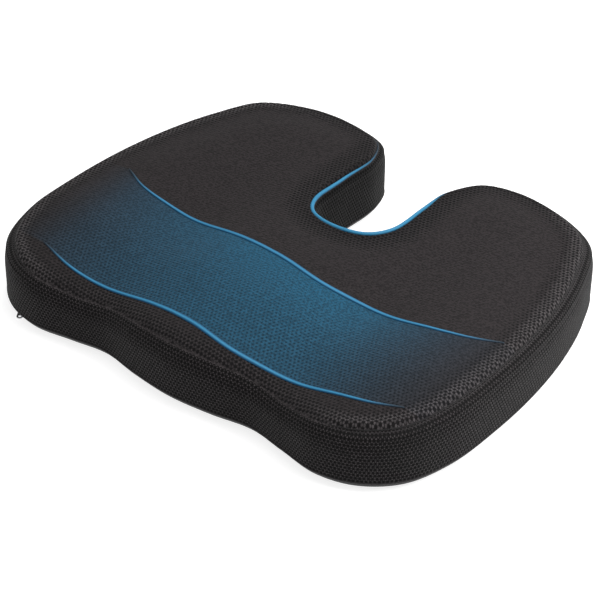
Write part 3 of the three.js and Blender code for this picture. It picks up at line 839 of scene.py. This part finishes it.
def outsideMouth(points):  # distance from the zip's mouth, a slot along the arc, and its direction
    dx, dy = points[:, 0] - zipArc["x"], points[:, 1] - zipArc["y"]
    r = np.hypot(dx, dy)
    angle = np.degrees(np.arctan2(dy, dx)) % 360
    across = np.abs(r - zipArc["radius"]) - zipArc["mouth"]
    beyond = (zipArc["front"] - zipArc["span"] - zipArc["endRun"] - angle) * math.pi / 180 * zipArc["radius"]
    ends = np.maximum(beyond, (angle - zipArc["front"] - zipArc["exit"]) * math.pi / 180 * zipArc["radius"])
    gap = np.maximum(across, ends)
    way = np.sign(r - zipArc["radius"])[:, None] * np.stack([dx, dy], 1) / np.maximum(r, 1e-6)[:, None]
    tangent = np.stack([-dy, dx], 1) / np.maximum(r, 1e-6)[:, None]
    way = np.where((ends > across)[:, None], -tangent, way)
    return gap, way


base = dict(pitch=6.0, edge=0.75, lift=0.55)


def insideBase(points):
    inset, toward, _ = nearestEdge(points)
    edgeGap = inset - base["edge"]
    slotGap, slotWay = outsideMouth(points)
    return np.minimum(edgeGap, slotGap), np.where((slotGap < edgeGap)[:, None], slotWay, toward)


# Height of the underside at a distance in from the outline: the roll under the edge turned
# about, one less a root of the distance, then flat.
def baseHeight(inset):
    rolled = np.clip(inset / cushion["baseRoll"], 0, 1) ** (1 / cushion["rollPower"])
    return np.maximum(cushion["rollShare"] * (1 - rolled) * cushion["height"], base["lift"])


print("underside")
basePoints, baseFaces, _ = hexSheet(base["pitch"], insideBase,
                                    (-halfWidth, -halfDepth), (halfWidth, halfDepth))
baseInset, _, _ = nearestEdge(basePoints)
basePanel = makeMesh("basePanel", np.column_stack([basePoints, baseHeight(baseInset)]), baseFaces[:, ::-1])
finish(basePanel, baseCloth, stands=("cover_bottom_panel",))


facing = dict(height=6.35, over=2.0, edge=3.0, foamGap=0.35, rows=160, columns=12)


# The foam over the zip's mouth stays above the slider's top.
def hollowPad(obj, level):
    points = readPoints(obj)
    gap, _ = outsideMouth(points)
    points[:, 2] = np.where(gap < facing["over"] + 1, np.maximum(points[:, 2], level), points[:, 2])
    writePoints(obj, points)


# The base cloth turned in over the zip's mouth: a strip along the arc, flat under the foam, kept
# inside the outline.
def mouthFacing():
    half = zipArc["mouth"] + facing["over"]
    beyond = math.degrees(facing["over"] / zipArc["radius"])
    angle = np.radians(np.linspace(zipArc["front"] + zipArc["exit"] + beyond,
                                   zipArc["front"] - zipArc["span"] - beyond, facing["rows"]))[:, None]
    r = zipArc["radius"] + np.linspace(-half, half, facing["columns"])[None]
    x, y = zipArc["x"] + r * np.cos(angle), zipArc["y"] + r * np.sin(angle)
    plan = np.column_stack([x.ravel(), y.ravel()])
    inset, inward, _ = nearestEdge(plan)
    plan = plan + inward * np.clip(facing["edge"] - inset, 0, 12)[:, None]
    obj = makeMesh("mouthFacing", np.column_stack([plan, np.full(len(plan), facing["height"])]),
                   gridFaces(facing["rows"], facing["columns"], False, False))
    return finish(obj, baseCloth)


hollowPad(padObject, facing["height"] + facing["foamGap"])
mouthFacing()


# Low rubber dots in staggered rows; each is a dome of rings on a round foot, its crown on the floor.
dots = dict(pitch=12.0, radius=2.1, sides=10, fromEdge=14, fromMouth=4,
            rings=[(1.0, 1.0), (0.8, 0.12), (0.45, 0.0)])  # share of the radius, height


def gripDots():
    j, i = np.meshgrid(np.arange(-17, 18), np.arange(-20, 21), indexing="ij")
    spots = np.stack([(i + (j % 2) / 2) * dots["pitch"], j * dots["pitch"] * 0.866], -1).reshape(-1, 2)
    inset, _, _ = nearestEdge(spots)
    slot, _ = outsideMouth(spots)
    spots = spots[(inset > dots["fromEdge"]) & (slot > dots["fromMouth"])]
    sides, each = dots["sides"], dots["sides"] * len(dots["rings"])
    turn = np.arange(sides) / sides * 2 * math.pi
    ring = np.stack([np.cos(turn), np.sin(turn)], 1) * dots["radius"]
    one = np.concatenate([np.column_stack([ring * r, np.full(sides, z)]) for r, z in dots["rings"]])
    points = one[None] + np.column_stack([spots, np.zeros(len(spots))])[:, None]
    quads = gridFaces(len(dots["rings"]), sides, False, True)
    quads = (quads[None] + (np.arange(len(spots)) * each)[:, None, None]).reshape(-1, 4)
    caps = [[s * each + each - sides + k for k in range(sides)] for s in range(len(spots))]
    feet = [[s * each + k for k in range(sides)[::-1]] for s in range(len(spots))]
    obj = makeMesh("gripDots", points.reshape(-1, 3), quads.tolist() + caps + feet)
    return finish(outward(obj), gripRubber)


gripDots()

# Zip coils: a flattened helix along the arc, one each side, its loops tilted to mesh.
coil = dict(pitch=1.3, low=2.9, high=4.2, near=0.8, far=3.1, wire=0.32, endGap=4, perTurn=10, sides=5)


def zipCoil(name, side, node):
    reach = math.radians(zipArc["span"]) * zipArc["radius"] - coil["endGap"]
    turns = int(reach / coil["pitch"])
    t = np.arange(turns * coil["perTurn"] + 1) / coil["perTurn"]
    phase = t * 2 * math.pi
    middleR, halfR = (coil["near"] + coil["far"]) / 2, (coil["far"] - coil["near"]) / 2 - coil["wire"]
    middleZ, halfZ = (coil["low"] + coil["high"]) / 2, (coil["high"] - coil["low"]) / 2 - coil["wire"]
    out = side * (middleR + halfR * np.cos(phase))
    arc = math.radians(zipArc["front"]) - (t + (0.5 if side > 0 else 0)) * coil["pitch"] / zipArc["radius"]
    r = zipArc["radius"] + out
    centre = np.column_stack([zipArc["x"] + r * np.cos(arc), zipArc["y"] + r * np.sin(arc),
                              middleZ + halfZ * np.sin(phase)])
    tangent = np.gradient(centre, axis=0)
    tangent /= np.linalg.norm(tangent, axis=1)[:, None]
    run = np.column_stack([-np.sin(arc), np.cos(arc), np.zeros(len(arc))])
    side1 = np.cross(tangent, run)
    side1 /= np.linalg.norm(side1, axis=1)[:, None]
    side2 = np.cross(tangent, side1)
    turn = np.arange(coil["sides"]) / coil["sides"] * 2 * math.pi
    size = np.full((len(t), 1), coil["wire"])
    obj = sweep(name, centre, side1, side2, size * np.cos(turn), size * np.sin(turn), False)
    return finish(obj, coilNylon, stands=(node,))


print("zip")
zipCoil("zipCoilInner", -1, "zip_coil_inner")
zipCoil("zipCoilOuter", 1, "zip_coil_outer")
for name in ("zip_tape_inner", "zip_tape_outer", "zip_rear_stop", "zip_front_stop_inner",
             "zip_front_stop_outer", "zip_slider", "zip_pull"):
    cad[name].data.materials.clear()
    cad[name].data.materials.append(tapeCloth if "tape" in name else zipMetal)

# Floor, light and camera
studio = dict(azimuth=38.632, elevation=35.922, distance=1791, focal=2170.5, right=-7.28, up=-29.32,
              roll=0.443, aimZ=35, frame=600, floor=6000, ambient=0.45)
lights = dict(
    overheadLight=dict(azimuth=170, elevation=76, distance=1900, size=1500, power=22),
    keyLight=dict(azimuth=105, elevation=44, distance=900, size=550, power=5.9),
    backLight=dict(azimuth=195, elevation=40, distance=2200, size=1400, power=8))


def backFrom(azimuth, elevation):  # direction to a viewpoint, azimuth counted from the front
    a, e = math.radians(azimuth), math.radians(elevation)
    return Vector((math.sin(a) * math.cos(e), -math.cos(a) * math.cos(e), math.sin(e)))


def floorPlane():
    corners = np.array([(-1, -1, 0), (1, -1, 0), (1, 1, 0), (-1, 1, 0)]) * studio["floor"]
    obj = makeMesh("floor", corners, [[0, 1, 2, 3]])
    paint = Paint("floorWhite", Roughness=0.9, Base_Color=(0.5, 0.5, 0.5, 1), Specular_IOR_Level=0.1,
                  Emission_Color=(1, 1, 1, 1), Emission_Strength=0.78)
    fromBelow = paint.node("ShaderNodeNewGeometry", output="Backfacing")
    clear = paint.node("ShaderNodeBsdfTransparent")
    white = Wire(paint, paint.shader.outputs["BSDF"])
    both = paint.node("ShaderNodeMixShader", None, {0: fromBelow, 1: white, 2: clear})
    paint.feed(paint.nodes["Material Output"].inputs["Surface"], both)
    obj.data.materials.append(paint.material)


def softBox(name, azimuth, elevation, distance, size, power):
    light = bpy.data.lights.new(name, "AREA")
    light.shape, light.size, light.energy = "DISK", size * mm, power
    obj = bpy.data.objects.new(name, light)
    scene.collection.objects.link(obj)
    back = backFrom(azimuth, elevation)
    obj.location = back * distance * mm
    obj.rotation_mode = "QUATERNION"
    obj.rotation_quaternion = (-back).to_track_quat("-Z", "Y")


def camera():
    back = backFrom(studio["azimuth"], studio["elevation"])
    turn = math.radians(studio["azimuth"])
    right = Vector((math.cos(turn), math.sin(turn), 0))
    up = back.cross(right)
    aim = Vector((0, 0, studio["aimZ"])) + right * studio["right"] + up * studio["up"]
    roll = math.radians(studio["roll"])
    turnedRight = right * math.cos(roll) + up * math.sin(roll)
    turnedUp = up * math.cos(roll) - right * math.sin(roll)
    lens = bpy.data.cameras.new("camera")
    lens.sensor_width, lens.lens = 36, 36 * studio["focal"] / studio["frame"]
    lens.clip_start, lens.clip_end = 0.05, 50
    obj = bpy.data.objects.new("camera", lens)
    scene.collection.objects.link(obj)
    obj.matrix_world = Matrix((turnedRight, turnedUp, back)).transposed().to_4x4()
    obj.location = (aim + back * studio["distance"]) * mm
    scene.camera = obj


print("studio")
floorPlane()
for name, values in lights.items():
    softBox(name, **values)
world = bpy.data.worlds.new("studio")
scene.world = world
world.use_nodes = True
world.node_tree.nodes["Background"].inputs["Color"].default_value = (1, 1, 1, 1)
world.node_tree.nodes["Background"].inputs["Strength"].default_value = studio["ambient"]
scene.view_settings.view_transform = "Standard"
camera()

print("done")
